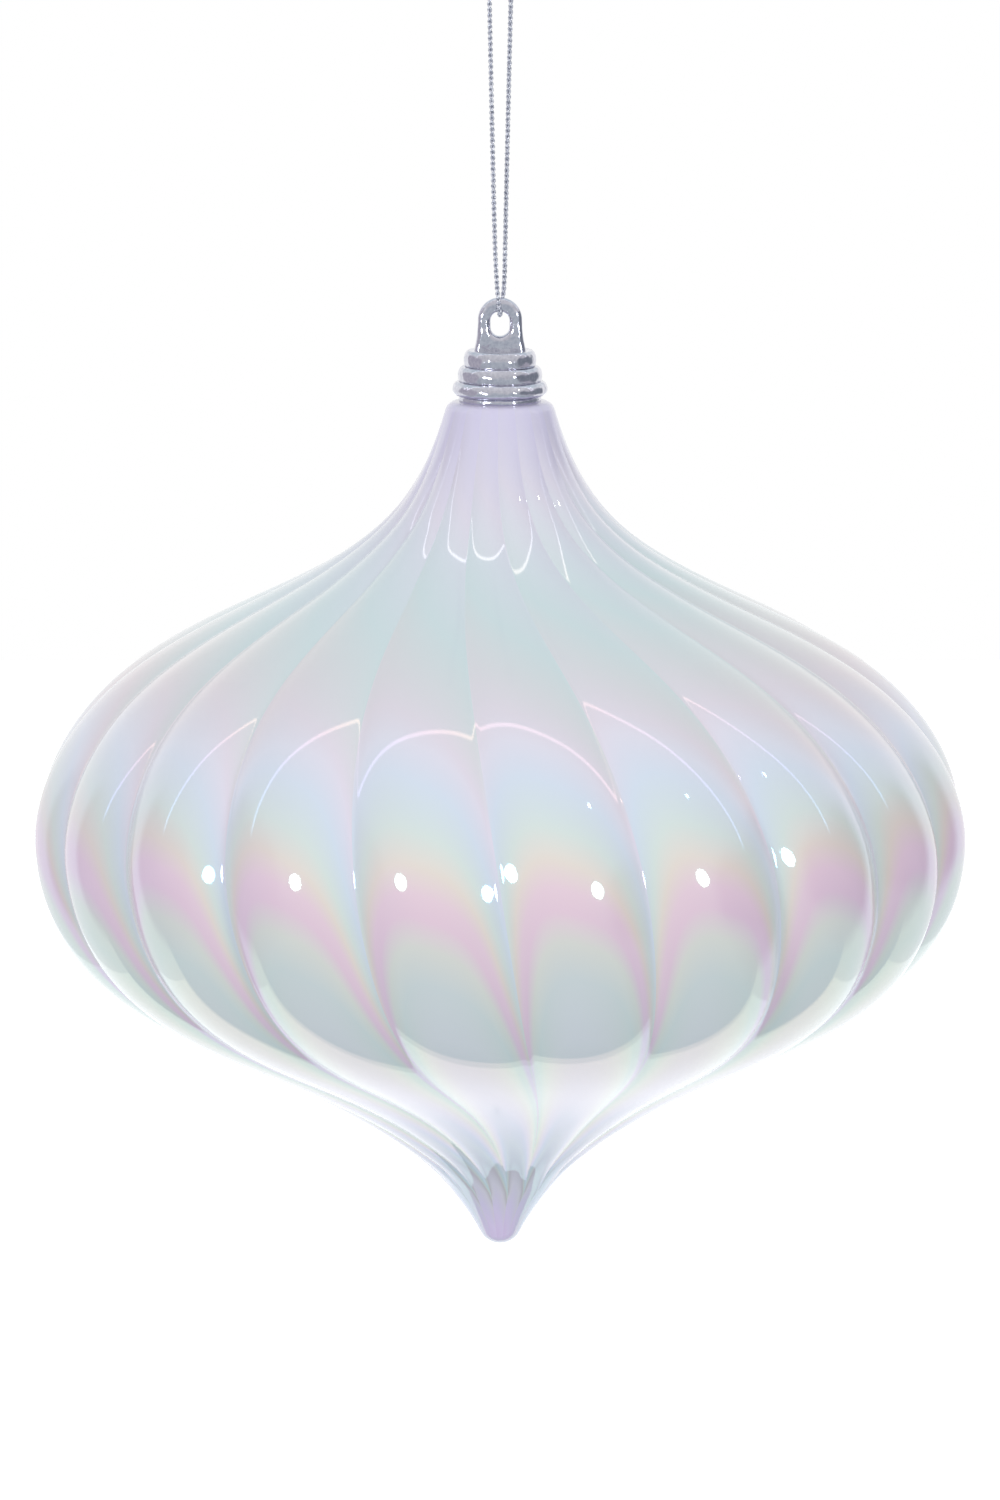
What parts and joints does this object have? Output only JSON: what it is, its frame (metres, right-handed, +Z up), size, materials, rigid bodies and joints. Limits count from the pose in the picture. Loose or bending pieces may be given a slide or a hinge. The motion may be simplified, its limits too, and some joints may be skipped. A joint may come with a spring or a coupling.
{
  "type": "onion-shaped hanging ornament",
  "caption": "Hanging ornament: a hollow onion-shaped body with twisted rounded flutes, a stepped cap with an eyelet, and a knotted cord loop.",
  "frame": {"origin": "inside top of the cord loop, where a hook carries it", "axes": "+Z up along the ornament's axis, Y along the eyelet hole, X across the eyelet's flat tongue"},
  "size_m": [0.1984, 0.1984, 0.2845],
  "materials": {
    "pearl_shell": "pearl iridescent gloss",
    "silver_cap": "vacuum-metallised silver",
    "adhesive": "set clear adhesive",
    "metallic_cord": "silver metallic braid"
  },
  "bodies": {
    "cord": {"cord_loop": "metallic_cord", "cord_knot": "metallic_cord"},
    "ornament": {"shell": "pearl_shell", "cap": "silver_cap", "adhesive_ring": "adhesive"}
  },
  "joints": [
    {"name": "swing", "type": "hinge", "parent": "cord", "child": "ornament", "pos_m": [0, 0, -0.082], "axis": [0, 1, 0], "range_deg": [-75, 75]}
  ]
}
